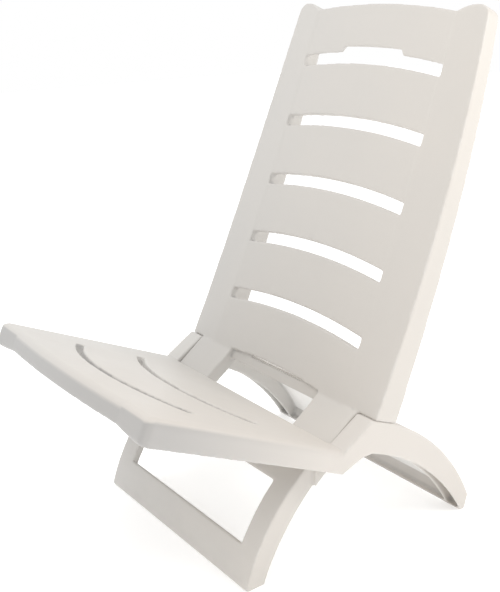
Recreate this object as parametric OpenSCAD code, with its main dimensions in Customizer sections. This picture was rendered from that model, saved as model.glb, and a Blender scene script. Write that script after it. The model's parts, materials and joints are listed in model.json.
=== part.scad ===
// Low folding beach chair, made of two crossing plastic mouldings.
// The back frame is the back, its arms and the front legs. The seat frame is
// the seat and the rear legs. They turn on two pins in the arms, and the back
// stands on a land on each rear leg when the chair is open.
// X is across, -Y is the front, Z is up. Left is the sitter's left, +X.
// The origin is on the floor, below the middle of the open chair.

/* [Overall] */
// Outer width over the foot of the back and the rear of the seat
chair_w = 430; // [420:1:440]
// Height of the pivot axis above the floor
pivot_h = 168; // [164:1:172]
// Thickness of the walls that stiffen the mouldings
wall = 4; // [3:0.5:4.5]
// Thickness of the seat and back panels
panel_t = 5; // [4:0.5:6]

/* [Back] */
// Lean of the back from upright
back_lean = 22.5; // [20:0.5:25]
// Length of the back from its foot to the tip of its ears
back_l = 557; // [540:1:570]
// Outer width of the back at its top
back_top_w = 374; // [368:1:380]
// Half the width of the slotted panel at the back's foot
panel_foot_half = 149; // [147:0.5:151]
// Half the width of the slotted panel at the back's top
panel_top_half = 138; // [136:0.5:140]
// How far the middle of the back curves away from the sitter
back_bow = 8; // [4:1:12]
// Depth of the side rails at the foot of the back
rail_foot_d = 42; // [38:1:46]
// Depth of the side rails at the top of the back
rail_top_d = 24; // [20:1:28]
// Distance between two slots of the back
slot_pitch = 95; // [94:0.5:96]
// Height of each slot in the back
slot_h = 17; // [16:1:19]
// How far the slots rise in the middle
slot_rise = 11; // [8:1:14]

/* [Seat] */
// Slope of the seat, down to the rear
seat_slope = 24.8; // [24:0.2:25.6]
// Length of the seat from the pivot to its front edge
seat_l = 329; // [320:1:336]
// Outer width of the seat at its front
seat_front_w = 404; // [396:1:412]
// Depth of the seat's side skirts at the front
skirt_d = 34; // [32:0.5:36]
// Depth of the seat's side skirts at the rear
skirt_rear_d = 30.5; // [29:0.5:32]
// Width of the curved slots in the seat
seat_slot_w = 10.5; // [8:0.5:12]
// Radius of the curved slots in the seat
seat_slot_r = 250; // [246:1:254]

/* [Legs] */
// Half the gap between the two arms
arm_in = 103; // [98:1:108]
// Distance from the middle to the arm's outer face
arm_out = 183; // [182:0.25:183.5]
// Distance from the middle to the front leg's inner face
leg_in = 142; // [138:1:146]
// Distance from the middle to the front leg's outer face
leg_out = 177; // [175:0.5:178]
// Distance from the middle to the rear leg's inner face
hub_in = 184; // [183.5:0.5:186]

/* [Pivot] */
// Radius of the pivot pins
pin_r = 6; // [5:0.5:7]
// Radius of the bosses that hold the pins
boss_r = 11; // [10:0.5:12]
// Radial clearance of the pins in the rear legs
pin_play = 0.06; // [0.03:0.01:0.08]

/* [Hidden] */
$fn = 96;

shell_white = [0.87, 0.85, 0.82];
shell_shade = [0.80, 0.79, 0.77];
pin_grey = [0.72, 0.72, 0.72];

half_w = chair_w / 2;
span = 1000;               // longer than the chair, for cutting shapes
panel_half = 145;          // half the width of the seat's panel and of the back's arches
corner_rise = 0.293;       // rise of a quarter circle, for a radius of 1
lip_t = 3;                 // thickness of the lips round the slots
lip_d = 12;                // depth of the lips round the slots
recess = 0.6;              // how far the slats lie behind the rails
land_gap = 0.5;            // gap between the back's foot and the land under it

back_set = 9;              // distance of the back's face behind the pivot
back_base = 44;            // height of the back's foot above the pivot
back_steps = 12;           // facets of the curved back
ear_r = 14;                // rounding of the ears' outer corners
ear_slope = 28;            // length of the ears' inner slopes
ear_rise = 2;              // how far the ears' inner slopes bulge
crown_drop = 10;           // depth of the valleys beside the crown
rail_slant = 0.08;         // how much the side rails slant back towards their outer edges
slant_start = 143;         // distance from the middle where the slant starts
grip_half = 61;            // half the width of the hand-hold
grip_h = 8;                // how far the hand-hold rises above its slot
first_slot = 457.5;        // height of the top slot's ends above the back's foot
foot_rail_drop = 12;       // how far the foot rail reaches below the back's foot
foot_rail_set = 6;         // how far the foot rail lies behind the back's face

seat_top = -3;             // height of the seat's face above the pivot
seat_rear = -24;           // where the seat ends, in front of the pivot
seat_round = 10;           // rounding of the seat's outer edges
front_rail_l = 22;         // length of the seat's front rail
front_bow = 10;            // how far the seat's front bulges
front_skirt_d = 27.5;      // depth of the front skirt, between the deeper corners
corner_slope = 42;         // length of the slope from the front skirt to a deeper corner
corner_groove = 182;       // distance of the groove in a front corner from the middle
groove_w = 2.4;            // width of the groove in a front corner
groove_d = 3;              // depth of the groove in a front corner
slot_apex = 55;            // distance of the first curved slot from the seat's front
seat_pitch = 107;          // distance between the curved slots

// Side outlines of the legs, as distances behind and above the pivot
front_arm_end = [-18, 5];
front_toe_tip = [-157, -164];
front_toe_back = [-126, -165];
front_knee_back = [-29, -38];
arm_split = -45;           // where the arm ends and the front leg begins
plate_low = -44;           // lower edge of the front cross plate
bar_high = -119;           // upper edge of the foot bar
rear_toe_tip = [228, -146];
rear_toe_heel = [222, -pivot_h];
rear_toe_back = [211, -pivot_h];
rear_shin_foot = [209, -161];
rear_shin_top = [26, -12];
ramp_wall = 4.8;           // upright thickness of the ramps' top wall
wall_shift = wall * 0.75;  // step that leaves about one wall when a leg is hollowed
flange_shift = 9;          // step that leaves the front legs' narrow inner flange
arm_flange_low = [-9, 0.69]; // lower edge of the arms' inner flange: height and slope
boss_l = 21;               // length of the bosses in the arms
pin_l = 46;                // length of the pins, from the boss's inner end
pin_head_t = 4;            // thickness of the pins' heads
pin_hole_end = 5;          // what is left outside the blind holes in the rear legs

// The same points in the back's and the seat's own axes, seen from the side
function on_back(y, z) = [
    y * cos(back_lean) + z * sin(back_lean), z * cos(back_lean) - y * sin(back_lean)
];
function on_seat(y, z) = [
    y * cos(seat_slope) + z * sin(seat_slope), z * cos(seat_slope) - y * sin(seat_slope)
];

// Points on the arc from a to b that rises to the left of its chord
function arc(a, b, rise, n = 12) =
    let (
        chord = norm(b - a),
        r = (chord * chord / 4 + rise * rise) / (2 * rise),
        along = (b - a) / chord,
        left = [-along[1], along[0]],
        centre = (a + b) / 2 - left * (r - rise),
        half = asin(chord / 2 / r)
    )
    [for (i = [0:n]) let (t = half * (2 * i / n - 1)) centre + r * (along * sin(t) + left * cos(t))];

// Radius of an arc from its half chord and its rise
function arc_radius(half_chord, rise) = (half_chord * half_chord + rise * rise) / (2 * rise);

// Depth of the curved back's face at height z above the pivot, in the back's axes
function face_y(z) =
    let (t = (z - back_base) / back_l)
    back_set + 4 * back_bow * t * (1 - t);
function rail_depth(z) = rail_foot_d + (rail_top_d - rail_foot_d) * (z - back_base) / back_l;

// Half the outer width of the back at height z: it narrows more and more towards the top
function back_half(z) =
    let (t = (z - back_base) / back_l)
    half_w - (half_w - back_top_w / 2) * (t + 2 * t * t * t) / 3;

land_front = on_back(back_set, back_base - land_gap);
land_rear = on_back(back_set + rail_foot_d, back_base - land_gap);
foot_front = on_back(back_set, back_base);
foot_rear = on_back(back_set + rail_foot_d, back_base);

// Half the width of the slotted panel at height z
function panel_edge(z) =
    panel_foot_half + (panel_top_half - panel_foot_half) * (z - back_base) / back_l;

ear_z = back_base + back_l;
back_heights = [for (i = [0:back_steps]) back_base + back_l * i / back_steps];

// The chair's rearmost and foremost points set where its middle is
ear_set = rail_slant * (back_half(ear_z) - ear_r - slant_start);
rear_reach = on_back(face_y(ear_z) + rail_top_d + ear_set, ear_z)[0];
front_reach = on_seat(-seat_l - front_bow, seat_top - front_skirt_d)[0];
pivot_y = -(rear_reach + front_reach) / 2;

module at_pivot() translate([0, pivot_y, pivot_h]) children();
module at_back() at_pivot() rotate([-back_lean, 0, 0]) children();
module at_seat() at_pivot() rotate([-seat_slope, 0, 0]) children();

// Extrudes a side outline in (y, z) from x0 to x1
module side(x0, x1) translate([x0, 0, 0]) rotate([90, 0, 90]) linear_extrude(x1 - x0) children();

// Extrudes a front outline in (x, z) from y0 to y1
module front(y0, y1) translate([0, y1, 0]) rotate([90, 0, 0]) linear_extrude(y1 - y0) children();

// Turns an upright shape to lie across the chair, starting at x
module across(x) translate([x, 0, 0]) rotate([0, 90, 0]) children();

module on_right() mirror([1, 0, 0]) children();

/* Back frame */

// Side outline of the back between two depths behind its face
module back_outline(depth0, depth1) polygon(concat(
    [for (z = back_heights) [face_y(z) + depth0, z]],
    [for (i = [back_steps:-1:0]) [face_y(back_heights[i]) + depth1, back_heights[i]]]
));

module rail_outline(skin) polygon(concat(
    [for (z = back_heights) [face_y(z) + skin, z]],
    [for (i = [back_steps:-1:0]) let (z = back_heights[i]) [face_y(z) + rail_depth(z) + skin, z]]
));

// Front outline of a rail, drawn in from its edges by skin
module rail_face(skin) {
    top = ear_z - skin;
    shoulder = top - ear_r;
    valley = top - crown_drop;
    polygon(concat(
        [for (i = [0:back_steps - 1]) [back_half(back_heights[i]) - skin, back_heights[i]]],
        arc([back_half(shoulder) - skin, shoulder], [back_half(top) - ear_r, top], -ear_r * corner_rise, 6),
        arc([panel_edge(top) + ear_slope, top], [panel_edge(valley) + skin, valley], -ear_rise, 6),
        [[panel_edge(back_base) + skin, back_base]]
    ));
}

// Slants the rails back towards their outer edges
module slanted() multmatrix([
    [1, 0, 0, 0],
    [rail_slant, 1, 0, -rail_slant * slant_start],
    [0, 0, 1, 0]
]) children();

// A side rail of the back, open behind
module back_rail() color(shell_white) at_back() slanted() difference() {
    intersection() {
        side(0, half_w) rail_outline(0);
        front(0, span) rail_face(0);
    }
    intersection() {
        side(0, half_w) rail_outline(panel_t);
        front(0, span) rail_face(wall);
    }
}

// Height of a slot's edge above the pivot, at the middle of the back
function slot_z(i) = back_base + first_slot + slot_rise - i * slot_pitch;

// Everything below an edge that arches up to height z in the middle
module below_arch(z) {
    r = arc_radius(panel_half, slot_rise);
    translate([0, z - r]) circle(r, $fn = 240);
}

// Front outline of the panel between the rails
module panel_face() polygon([
    [panel_edge(back_base), back_base], [panel_edge(ear_z), ear_z],
    [-panel_edge(ear_z), ear_z], [-panel_edge(back_base), back_base]
]);

// Front outline of the strip between two arched edges, whose lower one spans low_half each way
module strip(low, high, low_half) difference() {
    intersection() {
        below_arch(high);
        panel_face();
    }
    intersection() {
        below_arch(low);
        translate([-low_half, low - span]) square([2 * low_half, span]);
    }
}

// A curved strip of the back with lips along both its edges
module slat(low, high, low_half) color(shell_white) at_back() {
    intersection() {
        side(-half_w, half_w) back_outline(recess, panel_t);
        front(0, span) strip(low, high, low_half);
    }
    intersection() {
        side(-half_w, half_w) back_outline(panel_t, lip_d);
        front(0, span) union() {
            strip(low, low + lip_t, low_half);
            strip(high - lip_t, high, half_w);
        }
    }
}

// Everything below the back's upper edge between its ears
module below_crown() {
    valley = ear_z - crown_drop;
    edge = panel_edge(valley);
    polygon(concat(
        [[half_w, back_base], [half_w, valley], [edge, valley]],
        arc([edge, valley], [-edge, valley], -crown_drop * 0.95, 24),
        [[-edge, valley], [-half_w, valley], [-half_w, back_base]]
    ));
}

// The hand-hold, an arched rise with sloping ends above the top slot
module grip_outline() {
    low = slot_z(0);
    high = low + slot_h + grip_h;
    intersection() {
        below_arch(high);
        polygon([
            [-grip_half - grip_h, low], [grip_half + grip_h, low],
            [grip_half - grip_h / 2, high], [grip_h / 2 - grip_half, high]
        ]);
    }
}

module back_top_rail() color(shell_white) at_back() {
    intersection() {
        side(-half_w, half_w) back_outline(recess, panel_t);
        front(0, span) intersection() {
            panel_face();
            difference() {
                below_crown();
                below_arch(slot_z(0) + slot_h);
                grip_outline();
            }
        }
    }
    intersection() {
        side(-half_w, half_w) back_outline(panel_t, lip_d + lip_t);
        front(0, span) intersection() {
            panel_face();
            difference() {
                below_crown();
                translate([0, -wall]) below_crown();
            }
        }
    }
}

// Height of a slat's lower edge in the middle, above the pivot
function slat_low(i) = i < 5 ? slot_z(i) + slot_h : back_base + slot_rise - 2;

// The slats are numbered from the top, below the top rail. The lowest stands on the arms.
module back_slat(i) slat(slat_low(i), slot_z(i - 1), i < 5 ? half_w : arm_in);

// The straight rail below the lowest slat, with a thin slit between them
module back_foot_rail() color(shell_shade) at_back() intersection() {
    side(-arm_in, arm_in) polygon([
        [back_set + foot_rail_set, back_base - foot_rail_drop],
        [back_set + foot_rail_set, back_base + wall],
        [back_set + lip_d, back_base + wall], [back_set + 1.5 * lip_d, back_base - foot_rail_drop]
    ]);
    front(0, span) below_arch(slat_low(5));
}

// Side outline of an arm and a front leg together
module front_leg_outline() polygon(concat(
    [foot_rear, foot_front],
    arc(front_arm_end, front_toe_tip, -22),
    [[front_toe_tip[0] + 2, -pivot_h], [front_toe_back[0], -pivot_h]],
    arc(front_toe_back, front_knee_back, 10)
));

// A stretch of the front leg, hollow from behind
module front_channel(x0, x1, wall0, wall1) difference() {
    side(x0, x1) front_leg_outline();
    side(x0 + wall0, x1 - wall1) translate([wall_shift, -wall_shift]) front_leg_outline();
}

module behind(y) translate([-span, y, -span]) cube(2 * span);
module above(z) translate([-span, -span, z]) cube(2 * span);

// A layer as thick as a wall, on the floor
module sole() translate([-span, -span, -pivot_h]) cube([2 * span, 2 * span, wall]);

module arm() color(shell_white) at_pivot() {
    difference() {
        union() {
            intersection() {
                front_channel(arm_in, arm_out, wall, wall);
                behind(arm_split);
            }
            across(arm_out - boss_l) cylinder(r = boss_r, h = boss_l);
        }
        across(arm_out - boss_l - 1) cylinder(r = pin_r, h = boss_l + 2);
        side(arm_in - 1, arm_in + wall) polygon([
            [-span, arm_flange_low[0] - span * arm_flange_low[1]],
            [span, arm_flange_low[0] + span * arm_flange_low[1]], [span, -span]
        ]);
    }
}

// The leg's inner flange is narrower than its outer one
module front_leg() color(shell_white) at_pivot() difference() {
    front_channel(leg_in, leg_out, wall, wall);
    side(leg_in - 1, leg_in + wall) translate([flange_shift, -flange_shift]) front_leg_outline();
    behind(arm_split);
}

module front_cross_plate() color(shell_shade) at_pivot() difference() {
    intersection() {
        front_channel(-leg_in, leg_in, 0, 0);
        above(plate_low);
    }
    behind(arm_split);
}

module foot_bar() color(shell_shade) at_pivot() difference() {
    union() {
        front_channel(-leg_in, leg_in, 0, 0);
        intersection() {
            side(-leg_in, leg_in) front_leg_outline();
            sole();
        }
    }
    above(bar_high);
}

module pivot_pin() color(pin_grey) at_pivot() {
    across(arm_out - boss_l - pin_head_t) cylinder(r = boss_r - 1, h = pin_head_t);
    across(arm_out - boss_l) cylinder(r = pin_r, h = pin_l);
}

/* Seat frame */

// Section of a seat rail in (x, z), drawn in from its edges by skin. Its underside slopes
// down from low_in to low.
module rail_section(out, skin, low_in, low) polygon(concat(
    [
        [panel_half, seat_top - skin], [panel_half, low_in],
        [panel_half + corner_slope, low], [out - skin, low]
    ],
    arc(
        [out - skin, seat_top - seat_round], [out - seat_round, seat_top - skin],
        -seat_round * corner_rise, 6
    )
));

// A thin slice of the seat across it, at distance y behind the pivot
module slice(y) translate([0, y, 0]) rotate([90, 0, 0]) linear_extrude(0.1) children();

// A groove under a seat rail, from x0 to inset within the rail's outer edge
module rail_groove(x0, x1_front, x1_rear) {
    low = seat_top - 2 * skirt_d;
    hull() {
        slice(9 - seat_l) translate([x0, low]) square([x1_front - x0, 2 * skirt_d - panel_t]);
        slice(seat_rear + 1) translate([x0, low]) square([x1_rear - x0, 2 * skirt_d - panel_t]);
    }
}

module seat_rail() color(shell_white) at_seat() {
    front_out = seat_front_w / 2;
    low = seat_top - skirt_d;
    rear_low = seat_top - skirt_rear_d;
    front_low = seat_top - front_skirt_d;
    difference() {
        union() {
            hull() {
                slice(seat_rear) rail_section(half_w, 0, rear_low, rear_low);
                slice(seat_round - seat_l) rail_section(front_out, 0, low, low);
            }
            hull() {
                slice(seat_round + 14 - seat_l) rail_section(front_out, 0, low, low);
                slice(seat_round - seat_l) rail_section(front_out, 0, front_low, low);
                slice(3 - seat_l) rail_section(front_out - 1, 2, front_low, low + 1);
                slice(0.1 - seat_l) rail_section(front_out - 3, 5, front_low, low + 4);
            }
        }
        rail_groove(panel_half - 1, hub_in, hub_in);
        rail_groove(hub_in + wall, front_out - wall, half_w - wall);
        translate([corner_groove, -seat_l - 1, low - 1])
            cube([groove_w, groove_d + 1, skirt_d / 2]);
    }
}

module seat_front_rail() color(shell_shade) at_seat() intersection() {
    bulge_r = arc_radius(panel_half, front_bow);
    inner_r = bulge_r - front_bow - front_rail_l;
    translate([0, bulge_r - seat_l - front_bow, 0])
        rotate([0, 0, 180]) rotate_extrude(angle = 180, $fn = 360) difference() {
            polygon(concat(
                [[inner_r, seat_top]],
                [[inner_r, seat_top - front_skirt_d], [bulge_r, seat_top - front_skirt_d]],
                arc(
                    [bulge_r, seat_top - seat_round], [bulge_r - seat_round, seat_top],
                    -seat_round * corner_rise, 6
                )
            ));
            translate([bulge_r - wall - span, seat_top - panel_t - span]) square(span);
        }
    translate([-panel_half, -span, -span / 2]) cube([2 * panel_half, span + front_rail_l - seat_l, span]);
}

// Plan of the disc inside the curved slot number i, grown by extra
module slot_disc(i, extra) translate([0, seat_slot_r - seat_l + slot_apex + seat_pitch * i])
    circle(seat_slot_r + extra, $fn = 360);

module seat_plan() translate([-panel_half, front_rail_l - seat_l])
    square([2 * panel_half, seat_rear - front_rail_l + seat_l]);

// A strip of the seat with a lip along each of its curved edges
module seat_strip(front_slot, rear_slot) {
    half_slot = seat_slot_w / 2;
    module strip_plan(grow) intersection() {
        seat_plan();
        difference() {
            if (front_slot < 0) seat_plan(); else slot_disc(front_slot, grow - half_slot);
            if (rear_slot >= 0) slot_disc(rear_slot, half_slot - grow);
        }
    }
    translate([0, 0, seat_top - panel_t]) linear_extrude(panel_t) strip_plan(0);
    translate([0, 0, seat_top - lip_d - panel_t]) linear_extrude(lip_d) difference() {
        strip_plan(0);
        strip_plan(-lip_t);
    }
}

module seat_slat_front() color(shell_white) at_seat() seat_strip(-1, 0);
module seat_slat_middle() color(shell_white) at_seat() seat_strip(0, 1);
module seat_slat_rear() color(shell_white) at_seat() {
    seat_strip(1, -1);
    translate([-arm_in + wall, seat_rear - lip_t, seat_top - panel_t - lip_d / 2])
        cube([2 * (arm_in - wall), lip_t, lip_d / 2]);
}

ramp_foot = on_seat(seat_rear, seat_top);
skirt_end = on_seat(-13, seat_top - skirt_rear_d);

// Side outline of a rear leg, with the ramp and the land that the back stands on
module rear_leg_outline() polygon(concat(
    [on_seat(seat_rear, seat_top - skirt_rear_d), ramp_foot, land_front],
    arc(land_rear, rear_toe_tip, 20),
    [rear_toe_heel, rear_toe_back],
    arc(rear_shin_foot, rear_shin_top, -20),
    [[10, -12], skirt_end]
));

// What is hollow of a rear leg, from below and above its sole
module rear_leg_hollow() difference() {
    translate([-wall_shift, -wall_shift]) rear_leg_outline();
    polygon([
        ramp_foot - [9, 6], ramp_foot + [0, wall], land_front + [0, wall],
        land_front - [0, ramp_wall], ramp_foot - [9, 6 + ramp_wall]
    ]);
    translate([-span, wall - pivot_h - span]) square([2 * span, span]);
}

module rear_leg() color(shell_white) at_pivot() difference() {
    union() {
        difference() {
            side(hub_in, half_w) rear_leg_outline();
            side(hub_in + wall, half_w - wall) rear_leg_hollow();
        }
        across(hub_in) cylinder(r = boss_r, h = half_w - hub_in - 1);
    }
    across(hub_in - 1) cylinder(r = pin_r + pin_play, h = half_w - hub_in + 1 - pin_hole_end);
}

// A sheet along the rear legs' upper edges, behind the land, with a sole in front of it
module rear_cross_panel() color(shell_shade) at_pivot() intersection() {
    union() {
        difference() {
            side(-hub_in, hub_in) rear_leg_outline();
            side(-half_w, half_w) translate([-wall_shift, -wall_shift]) rear_leg_outline();
        }
        intersection() {
            side(-hub_in, hub_in) rear_leg_outline();
            sole();
        }
    }
    behind(land_rear[0]);
}

back_rail();  // back_rail_left
on_right() back_rail();  // back_rail_right
back_top_rail();
back_slat(1);  // back_slat_1
back_slat(2);  // back_slat_2
back_slat(3);  // back_slat_3
back_slat(4);  // back_slat_4
back_slat(5);  // back_slat_5
back_foot_rail();
arm();  // arm_left
on_right() arm();  // arm_right
front_cross_plate();
front_leg();  // front_leg_left
on_right() front_leg();  // front_leg_right
foot_bar();
pivot_pin();  // pivot_pin_left
on_right() pivot_pin();  // pivot_pin_right
seat_rail();  // seat_rail_left
on_right() seat_rail();  // seat_rail_right
seat_front_rail();
seat_slat_front();
seat_slat_middle();
seat_slat_rear();
rear_leg();  // rear_leg_left
on_right() rear_leg();  // rear_leg_right
rear_cross_panel();
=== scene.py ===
"""Looks of the low folding beach chair: plastic skins round the CAD frame, camera and light."""

import json
import math

import bmesh
import bpy
import numpy as np
from mathutils import Matrix, Vector
from mathutils.bvhtree import BVHTree


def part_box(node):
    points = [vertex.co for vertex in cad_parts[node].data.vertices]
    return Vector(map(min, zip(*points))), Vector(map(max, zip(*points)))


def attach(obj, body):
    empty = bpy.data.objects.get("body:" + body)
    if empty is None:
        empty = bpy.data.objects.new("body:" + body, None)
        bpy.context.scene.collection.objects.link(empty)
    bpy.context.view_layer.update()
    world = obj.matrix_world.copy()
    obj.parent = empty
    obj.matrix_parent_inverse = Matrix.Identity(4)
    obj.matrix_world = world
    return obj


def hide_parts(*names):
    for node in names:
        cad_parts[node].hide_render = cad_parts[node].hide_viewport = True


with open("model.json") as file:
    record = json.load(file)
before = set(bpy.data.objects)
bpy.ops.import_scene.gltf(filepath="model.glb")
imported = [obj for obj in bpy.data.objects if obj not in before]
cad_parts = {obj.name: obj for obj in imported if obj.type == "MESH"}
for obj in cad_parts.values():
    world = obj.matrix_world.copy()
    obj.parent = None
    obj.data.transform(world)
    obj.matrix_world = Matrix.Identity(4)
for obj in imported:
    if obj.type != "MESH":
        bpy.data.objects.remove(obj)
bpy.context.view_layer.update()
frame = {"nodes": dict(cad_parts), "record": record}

# Camera, in metres and degrees, in the row frame
CAMERA_AT = (0.9878, -0.7160, 0.7409)
CAMERA_AZIMUTH = 53.4
CAMERA_ELEVATION = 18.5
CAMERA_ROLL = -1.0
CAMERA_LENS = 55.69
CAMERA_SENSOR = 36.0

# Moulded skins, in metres
VOXEL = 0.0018
SOFTENING = 0.5
SOFTENING_STEPS = 7
SKIN_FACES = 130000

# How strongly the bend of the surface round a vertex counts as an edge or a corner
WEAR_GAIN = 0.8

# Pivot pins, in metres and degrees
PIN_RADIUS = 0.006
PIN_HEAD_RADIUS = 0.010
PIN_HEAD_THICKNESS = 0.004
PIN_CHAMFER = 0.0008
PIN_STEPS = 48
PIN_SHARP_ANGLE = 35

# Colours, linear
# Dark tone: dust near the floor, darkening in concave creases, and painted shade on the seat's front
# faces
DIRT_AND_PAINTED_SHADE = (0.36, 0.36, 0.36, 1.0)
RUBBED = (0.80, 0.79, 0.77, 1.0)
# Painted bounce light: a paler tone on downward faces under the rear, between the legs
PAINTED_BOUNCE_LIGHT = (0.95, 0.94, 0.92, 1.0)
# Painted light: shaded tones for the -X side and lit tones for the +X side of each moulding, mixed by
# X; random tone variation also mixes between them
BACK_SHADED = (0.565, 0.550, 0.528, 1.0)
BACK_PAINTED_LIT = (0.655, 0.618, 0.572, 1.0)
SEAT_SHADED = (0.640, 0.625, 0.600, 1.0)
SEAT_PAINTED_LIT = (0.660, 0.618, 0.572, 1.0)
PIN_DARKER = (0.56, 0.56, 0.55, 1.0)
PIN_LIGHTER = (0.62, 0.61, 0.59, 1.0)
WHITE = (1.0, 1.0, 1.0, 1.0)

# Share of painted shade on faces to the front, and of painted bounce light (a paler tone) under the
# rear
SEAT_FRONT_PAINTED_SHADE = 0.65
SEAT_PAINTED_BOUNCE_LIGHT = 1.0

# Where the tones begin and where they are full, in metres in the row frame
# Painted light: shaded tone at -X, lit tone at +X
PAINTED_LIGHT_X = (-0.20, 0.20)
DUSTY_Z = (0.05, 0.0)
FRONT_Y = (-0.02, -0.25)
UNDER_REAR_Y = (0.02, 0.06)
BETWEEN_LEGS_X = (0.184, 0.180)

# Where they begin and are full by how far a face looks up
FRONT_UPWARD = (0.75, 0.45)
UNDER_UPWARD = (0.0, -0.30)

PLASTIC_IOR = 1.49
PLASTIC_SPECULAR = 0.45

# Surroundings
FLOOR_HALF = 6.0
FLOOR_ROUGHNESS = 0.9
FLOOR_GLOW = 0.32
SKY_DIMMING = 0.5          # loss of strength of the sky towards +X
SKY_WHITE_BELOW = 0.15     # height of direction up to which the sky keeps its full strength
SKY_DIMMED_ABOVE = 0.45    # height of direction from which the whole loss applies

# Lamps: name, place, what it faces, width, power and colour
LAMPS = [
    ("key", (0.95, 0.60, 1.05), (0.19, 0.20, 0.60), 0.5, 5.0, (1.0, 0.975, 0.94)),
    ("overhead", (-0.50, -0.35, 1.60), (0.0, -0.15, 0.2), 0.8, 4.0, (1.0, 0.985, 0.96)),
]


def add_object(name, data):
    """A new object in the scene, with that mesh, camera or light."""
    obj = bpy.data.objects.new(name, data)
    bpy.context.scene.collection.objects.link(obj)
    return obj


# ---------------------------------------------------------------- materials

class Shader:
    """The node tree of a material or of the world, with short calls for the nodes used here."""

    def __init__(self, owner):
        owner.use_nodes = True
        self.tree = owner.node_tree
        coordinates = self.add("ShaderNodeTexCoord").outputs
        self.place = coordinates["Object"]
        self.facing = coordinates["Normal"]
        self.direction = coordinates["Generated"]

    def add(self, kind, **inputs):
        node = self.tree.nodes.new(kind)
        for key, value in inputs.items():
            self.feed(node.inputs[key], value)
        return node

    def feed(self, socket, value):
        if isinstance(value, bpy.types.NodeSocket):
            self.tree.links.new(value, socket)
        else:
            socket.default_value = value

    def stretched(self, scale):
        mapping = self.add("ShaderNodeMapping", Vector=self.place)
        mapping.inputs["Scale"].default_value = scale
        return mapping.outputs["Vector"]

    def noise(self, scale, detail=3.0, place=None):
        place = place or self.place
        return self.add("ShaderNodeTexNoise", Vector=place, Scale=scale, Detail=detail).outputs["Fac"]

    def ramp(self, value, low, high, out_low=0.0, out_high=1.0):
        node = self.add("ShaderNodeMapRange", Value=value)
        node.inputs["From Min"].default_value = low
        node.inputs["From Max"].default_value = high
        node.inputs["To Min"].default_value = out_low
        node.inputs["To Max"].default_value = out_high
        return node.outputs["Result"]

    def maths(self, operation, a, b):
        node = self.tree.nodes.new("ShaderNodeMath")
        node.operation = operation
        self.feed(node.inputs[0], a)
        self.feed(node.inputs[1], b)
        return node.outputs[0]

    def mix(self, amount, a, b):
        node = self.tree.nodes.new("ShaderNodeMix")
        node.data_type = "RGBA"
        self.feed(node.inputs["Factor"], amount)
        self.feed(node.inputs[6], a)
        self.feed(node.inputs[7], b)
        return node.outputs[2]

    def bump(self, height, strength, distance, normal=None):
        node = self.add("ShaderNodeBump", Height=height, Strength=strength, Distance=distance)
        if normal is not None:
            self.feed(node.inputs["Normal"], normal)
        return node.outputs["Normal"]


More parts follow.
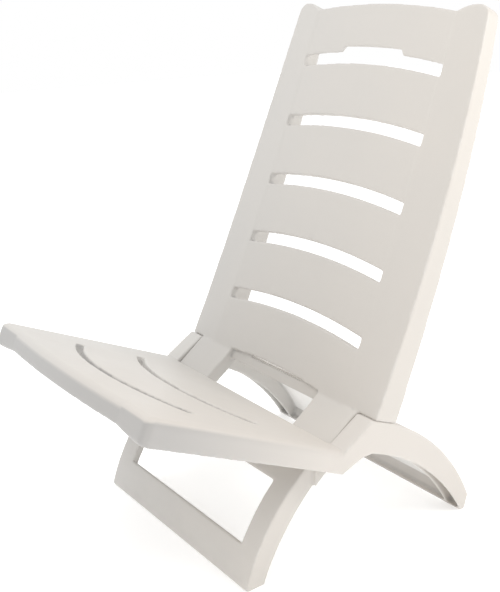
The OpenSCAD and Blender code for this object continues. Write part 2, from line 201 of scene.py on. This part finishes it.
def moulded_plastic(name, shaded, painted_lit, front_painted_shade, painted_bounce_light):
    """Off-white moulded plastic: fine grain, rubbed edges, darker concave creases, dust near the
    floor, painted light and shade from side to side, painted shade on front faces, and painted bounce
    light (a paler tone) under the rear.
    """
    material = bpy.data.materials.new(name)
    s = Shader(material)
    surface = material.node_tree.nodes["Principled BSDF"].inputs
    place = s.add("ShaderNodeSeparateXYZ", Vector=s.place).outputs
    upward = s.add("ShaderNodeSeparateXYZ", Vector=s.facing).outputs["Z"]

    # Painted light and shade from side to side, with random tone variation added
    uneven = s.maths("MULTIPLY", s.noise(7.0, 2.0), 0.5)
    side_light_and_tone = s.maths("ADD", s.ramp(place["X"], *PAINTED_LIGHT_X), uneven)
    colour = s.mix(s.ramp(side_light_and_tone, 0.15, 1.35), shaded, painted_lit)

    wear = s.add("ShaderNodeAttribute")
    wear.attribute_name = "wear"
    patchy = s.ramp(s.noise(60.0, 4.0), 0.40, 0.62)
    # Darker in concave creases and corners
    hollow = s.maths("MULTIPLY", s.ramp(wear.outputs["Fac"], 0.46, 0.30), 0.45)
    colour = s.mix(hollow, colour, DIRT_AND_PAINTED_SHADE)
    rubbed = s.maths("MULTIPLY", s.ramp(wear.outputs["Fac"], 0.55, 0.80), patchy)
    colour = s.mix(s.maths("MULTIPLY", rubbed, 0.30), colour, RUBBED)

    near_floor = s.ramp(place["Z"], *DUSTY_Z)
    dusty = s.maths("MULTIPLY", near_floor, s.ramp(s.noise(38.0, 5.0), 0.38, 0.66))
    colour = s.mix(s.maths("MULTIPLY", dusty, 0.12), colour, DIRT_AND_PAINTED_SHADE)
    # Painted shade: front-facing faces at the front of the seat darkened towards the dark tone
    front = s.maths("MULTIPLY", s.ramp(upward, *FRONT_UPWARD), s.ramp(place["Y"], *FRONT_Y))
    colour = s.mix(s.maths("MULTIPLY", front, front_painted_shade), colour, DIRT_AND_PAINTED_SHADE)

    # Painted bounce light: downward faces under the rear, between the legs, made paler
    under = s.maths("MULTIPLY", s.ramp(upward, *UNDER_UPWARD), s.ramp(place["Y"], *UNDER_REAR_Y))
    between_legs = s.ramp(s.maths("ABSOLUTE", place["X"], 0.0), *BETWEEN_LEGS_X)
    under = s.maths("MULTIPLY", under, between_legs)
    colour = s.mix(s.maths("MULTIPLY", under, painted_bounce_light), colour, PAINTED_BOUNCE_LIGHT)
    s.feed(surface["Base Color"], colour)

    scratches = s.ramp(s.noise(24.0, 4.0, s.stretched((9.0, 1.0, 1.0))), 0.60, 0.68)
    sheen = s.ramp(s.noise(12.0, 3.0), 0.3, 0.7, 0.42, 0.54)
    rough = s.maths("ADD", sheen, s.maths("MULTIPLY", scratches, 0.10))
    s.feed(surface["Roughness"], s.maths("SUBTRACT", rough, s.maths("MULTIPLY", rubbed, 0.08)))
    surface["IOR"].default_value = PLASTIC_IOR
    surface["Specular IOR Level"].default_value = PLASTIC_SPECULAR

    normal = s.bump(s.noise(16.0, 1.0), 0.25, 0.0012)
    normal = s.bump(scratches, 0.10, 0.0001, normal)
    s.feed(surface["Normal"], s.bump(s.noise(1400.0, 2.0), 0.22, 0.00012, normal))
    return material


def pin_plastic():
    """Harder, smoother plastic of the pins, with turned rings."""
    material = bpy.data.materials.new("pin_plastic")
    s = Shader(material)
    surface = material.node_tree.nodes["Principled BSDF"].inputs
    tone = s.ramp(s.noise(90.0, 3.0), 0.35, 0.65)
    s.feed(surface["Base Color"], s.mix(tone, PIN_DARKER, PIN_LIGHTER))
    s.feed(surface["Roughness"], s.ramp(s.noise(260.0, 2.0), 0.3, 0.7, 0.26, 0.40))
    rings = s.noise(500.0, 1.0, s.stretched((1.0, 0.04, 0.04)))
    s.feed(surface["Normal"], s.bump(rings, 0.15, 0.0001))
    return material


BACK_PLASTIC = moulded_plastic("back_plastic", BACK_SHADED, BACK_PAINTED_LIT, 0.0, 0.0)
SEAT_PLASTIC = moulded_plastic(
    "seat_plastic", SEAT_SHADED, SEAT_PAINTED_LIT, SEAT_FRONT_PAINTED_SHADE, SEAT_PAINTED_BOUNCE_LIGHT
)
PIN_PLASTIC = pin_plastic()


# ---------------------------------------------------------------- mouldings

def joined_nodes(names):
    """The CAD nodes as one mesh, a search tree over its faces, and each face's node."""
    bm = bmesh.new()
    owner = []
    for index, name in enumerate(names):
        bm.from_mesh(frame["nodes"][name].data)
        owner += [index] * (len(bm.faces) - len(owner))
    tree = BVHTree.FromBMesh(bm)
    mesh = bpy.data.meshes.new("joined")
    bm.to_mesh(mesh)
    bm.free()
    return mesh, tree, owner


def softened(mesh):
    """A closed skin round the solids in mesh, with its edges rounded as a moulding's are."""
    source = add_object("skin_source", mesh)
    remesh = source.modifiers.new("skin", "REMESH")
    remesh.mode = "VOXEL"
    remesh.voxel_size = VOXEL
    smooth = source.modifiers.new("soften", "SMOOTH")
    smooth.factor = SOFTENING
    smooth.iterations = SOFTENING_STEPS
    depsgraph = bpy.context.evaluated_depsgraph_get()
    dense = bpy.data.meshes.new_from_object(source.evaluated_get(depsgraph))
    source.modifiers.clear()
    source.data = dense
    thin = source.modifiers.new("thin", "DECIMATE")
    thin.ratio = min(1.0, SKIN_FACES / (2 * len(dense.polygons)))
    source.modifiers.new("triangles", "TRIANGULATE")
    depsgraph = bpy.context.evaluated_depsgraph_get()
    skin = bpy.data.meshes.new_from_object(source.evaluated_get(depsgraph))
    bpy.data.objects.remove(source)
    return skin


def edge_wear(mesh, points, normals):
    """How far each vertex stands out: 0.5 on flat faces, towards 1 on edges, 0 in corners."""
    edges = np.empty(len(mesh.edges) * 2, np.int32)
    mesh.edges.foreach_get("vertices", edges)
    a, b = edges.reshape(-1, 2).T
    step = points[b] - points[a]
    length = np.maximum(np.linalg.norm(step, axis=1), 1e-6)
    bend = np.einsum("ij,ij->i", normals[b] - normals[a], step) / length
    total = np.bincount(a, bend, len(points)) + np.bincount(b, bend, len(points))
    count = np.bincount(a, minlength=len(points)) + np.bincount(b, minlength=len(points))
    return np.clip(0.5 + total / np.maximum(count, 1) * WEAR_GAIN, 0.0, 1.0)


def moulding(body, names, material):
    """Replaces a moulding's CAD nodes with one softened skin, cut into a piece for each node."""
    mesh, tree, owner = joined_nodes(names)
    skin = softened(mesh)
    count = len(skin.vertices)
    points = np.empty(count * 3, np.float32)
    normals = np.empty(count * 3, np.float32)
    skin.vertices.foreach_get("co", points)
    skin.vertex_normals.foreach_get("vector", normals)
    points = points.reshape(-1, 3)
    normals = normals.reshape(-1, 3)
    wear = edge_wear(skin, points, normals)
    corners = np.empty(len(skin.polygons) * 3, np.int32)
    skin.polygons.foreach_get("vertices", corners)
    corners = corners.reshape(-1, 3)
    middles = points[corners].mean(axis=1)
    homes = np.array([owner[tree.find_nearest(Vector(p))[2]] for p in middles])
    for index, name in enumerate(names):
        mine = corners[homes == index]
        used, local = np.unique(mine, return_inverse=True)
        piece_mesh = bpy.data.meshes.new(name + "_skin")
        piece_mesh.from_pydata(points[used].tolist(), [], local.reshape(-1, 3).tolist())
        piece_mesh.polygons.foreach_set("use_smooth", [True] * len(mine))
        piece_mesh.normals_split_custom_set_from_vertices(normals[used].tolist())
        layer = piece_mesh.attributes.new("wear", "FLOAT", "POINT")
        layer.data.foreach_set("value", wear[used].astype(np.float32))
        piece_mesh.materials.append(material)
        piece = add_object(name + "_skin", piece_mesh)
        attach(piece, body)
        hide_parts(name)
    bpy.data.meshes.remove(skin)


groups = frame["record"]["behaviour"]["bodies"]
back_names = [n for n in groups["back_frame"] if not n.startswith("pivot_pin")]
moulding("back_frame", back_names, BACK_PLASTIC)
moulding("seat_frame", groups["seat_frame"], SEAT_PLASTIC)


# ---------------------------------------------------------------- pivot pins

def pivot_pin(name):
    """A turned pin with a chamfered head and a rounded tip."""
    low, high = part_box(name)
    middle = (low + high) / 2
    sign = 1.0 if middle.x > 0 else -1.0
    inner = low.x if sign > 0 else -high.x
    outer = high.x if sign > 0 else -low.x
    c = PIN_CHAMFER
    head = inner + PIN_HEAD_THICKNESS
    profile = [
        (inner, 0.0),
        (inner, PIN_HEAD_RADIUS - 2 * c),
        (inner + c / 2, PIN_HEAD_RADIUS - c / 2),
        (inner + 2 * c, PIN_HEAD_RADIUS),
        (head - c / 2, PIN_HEAD_RADIUS),
        (head, PIN_HEAD_RADIUS - c / 2),
        (head, PIN_RADIUS),
        (outer - 3 * c, PIN_RADIUS),
        (outer - c, PIN_RADIUS - c / 2),
        (outer, PIN_RADIUS - 2 * c),
        (outer, 0.0),
    ]
    bm = bmesh.new()
    rings = []
    for x, r in profile:
        if r == 0.0:
            rings.append([bm.verts.new((sign * x, middle.y, middle.z))])
            continue
        ring = []
        for i in range(PIN_STEPS):
            t = 2 * math.pi * i / PIN_STEPS
            at = (sign * x, middle.y + r * math.cos(t), middle.z + r * math.sin(t))
            ring.append(bm.verts.new(at))
        rings.append(ring)
    for one, two in zip(rings, rings[1:]):
        for i in range(PIN_STEPS):
            j = (i + 1) % PIN_STEPS
            if len(one) == 1:
                bm.faces.new((one[0], two[i], two[j]))
            elif len(two) == 1:
                bm.faces.new((one[j], one[i], two[0]))
            else:
                bm.faces.new((one[j], one[i], two[i], two[j]))
    bmesh.ops.recalc_face_normals(bm, faces=bm.faces)
    mesh = bpy.data.meshes.new(name + "_turned")
    bm.to_mesh(mesh)
    bm.free()
    for polygon in mesh.polygons:
        polygon.use_smooth = True
    mesh.set_sharp_from_angle(angle=math.radians(PIN_SHARP_ANGLE))
    mesh.materials.append(PIN_PLASTIC)
    pin = add_object(name + "_turned", mesh)
    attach(pin, "back_frame")
    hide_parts(name)


pivot_pin("pivot_pin_left")
pivot_pin("pivot_pin_right")


# ---------------------------------------------------------------- camera, floor and light

def look(azimuth, elevation, roll):
    """Rotation of a camera at that azimuth and elevation, rolled about its view."""
    az, el, r = (math.radians(v) for v in (azimuth, elevation, roll))
    back = Vector((math.sin(az) * math.cos(el), -math.cos(az) * math.cos(el), math.sin(el)))
    right = Vector((math.cos(az), math.sin(az), 0.0))
    up = back.cross(right)
    rolled_right = right * math.cos(r) + up * math.sin(r)
    rolled_up = up * math.cos(r) - right * math.sin(r)
    return Matrix((rolled_right, rolled_up, back)).transposed()


def area_light(name, at, target, size, power, colour):
    """A round lamp at one point that faces another."""
    data = bpy.data.lights.new(name, "AREA")
    data.shape = "DISK"
    data.size = size
    data.energy = power
    data.color = colour
    light = add_object(name, data)
    light.location = at
    light.rotation_euler = (Vector(target) - Vector(at)).to_track_quat("-Z", "Y").to_euler()


camera_data = bpy.data.cameras.new("camera")
camera_data.lens = CAMERA_LENS
camera_data.sensor_width = CAMERA_SENSOR
camera = add_object("camera", camera_data)
camera_turn = look(CAMERA_AZIMUTH, CAMERA_ELEVATION, CAMERA_ROLL)
camera.matrix_world = Matrix.Translation(CAMERA_AT) @ camera_turn.to_4x4()
bpy.context.scene.camera = camera

floor_corners = [(-1, -1), (1, -1), (1, 1), (-1, 1)]
floor_mesh = bpy.data.meshes.new("floor")
floor_points = [(x * FLOOR_HALF, y * FLOOR_HALF, 0.0) for x, y in floor_corners]
floor_mesh.from_pydata(floor_points, [], [(0, 1, 2, 3)])
floor_paint = bpy.data.materials.new("floor_paint")
floor_paint.use_nodes = True
paint = floor_paint.node_tree.nodes["Principled BSDF"].inputs
paint["Base Color"].default_value = WHITE
paint["Roughness"].default_value = FLOOR_ROUGHNESS
paint["Emission Color"].default_value = WHITE
paint["Emission Strength"].default_value = FLOOR_GLOW
floor_mesh.materials.append(floor_paint)
add_object("floor", floor_mesh)

world = bpy.data.worlds.new("studio")
sky = Shader(world)
direction = sky.add("ShaderNodeSeparateXYZ", Vector=sky.direction).outputs
sideways = sky.ramp(direction["X"], 0.0, 1.0, 0.0, SKY_DIMMING)
overhead = sky.ramp(direction["Z"], SKY_WHITE_BELOW, SKY_DIMMED_ABOVE)
background = world.node_tree.nodes["Background"].inputs
background["Color"].default_value = WHITE
sky.feed(background["Strength"], sky.maths("SUBTRACT", 1.0, sky.maths("MULTIPLY", sideways, overhead)))
bpy.context.scene.world = world
bpy.context.scene.view_settings.view_transform = "Standard"

for lamp in LAMPS:
    area_light(*lamp)
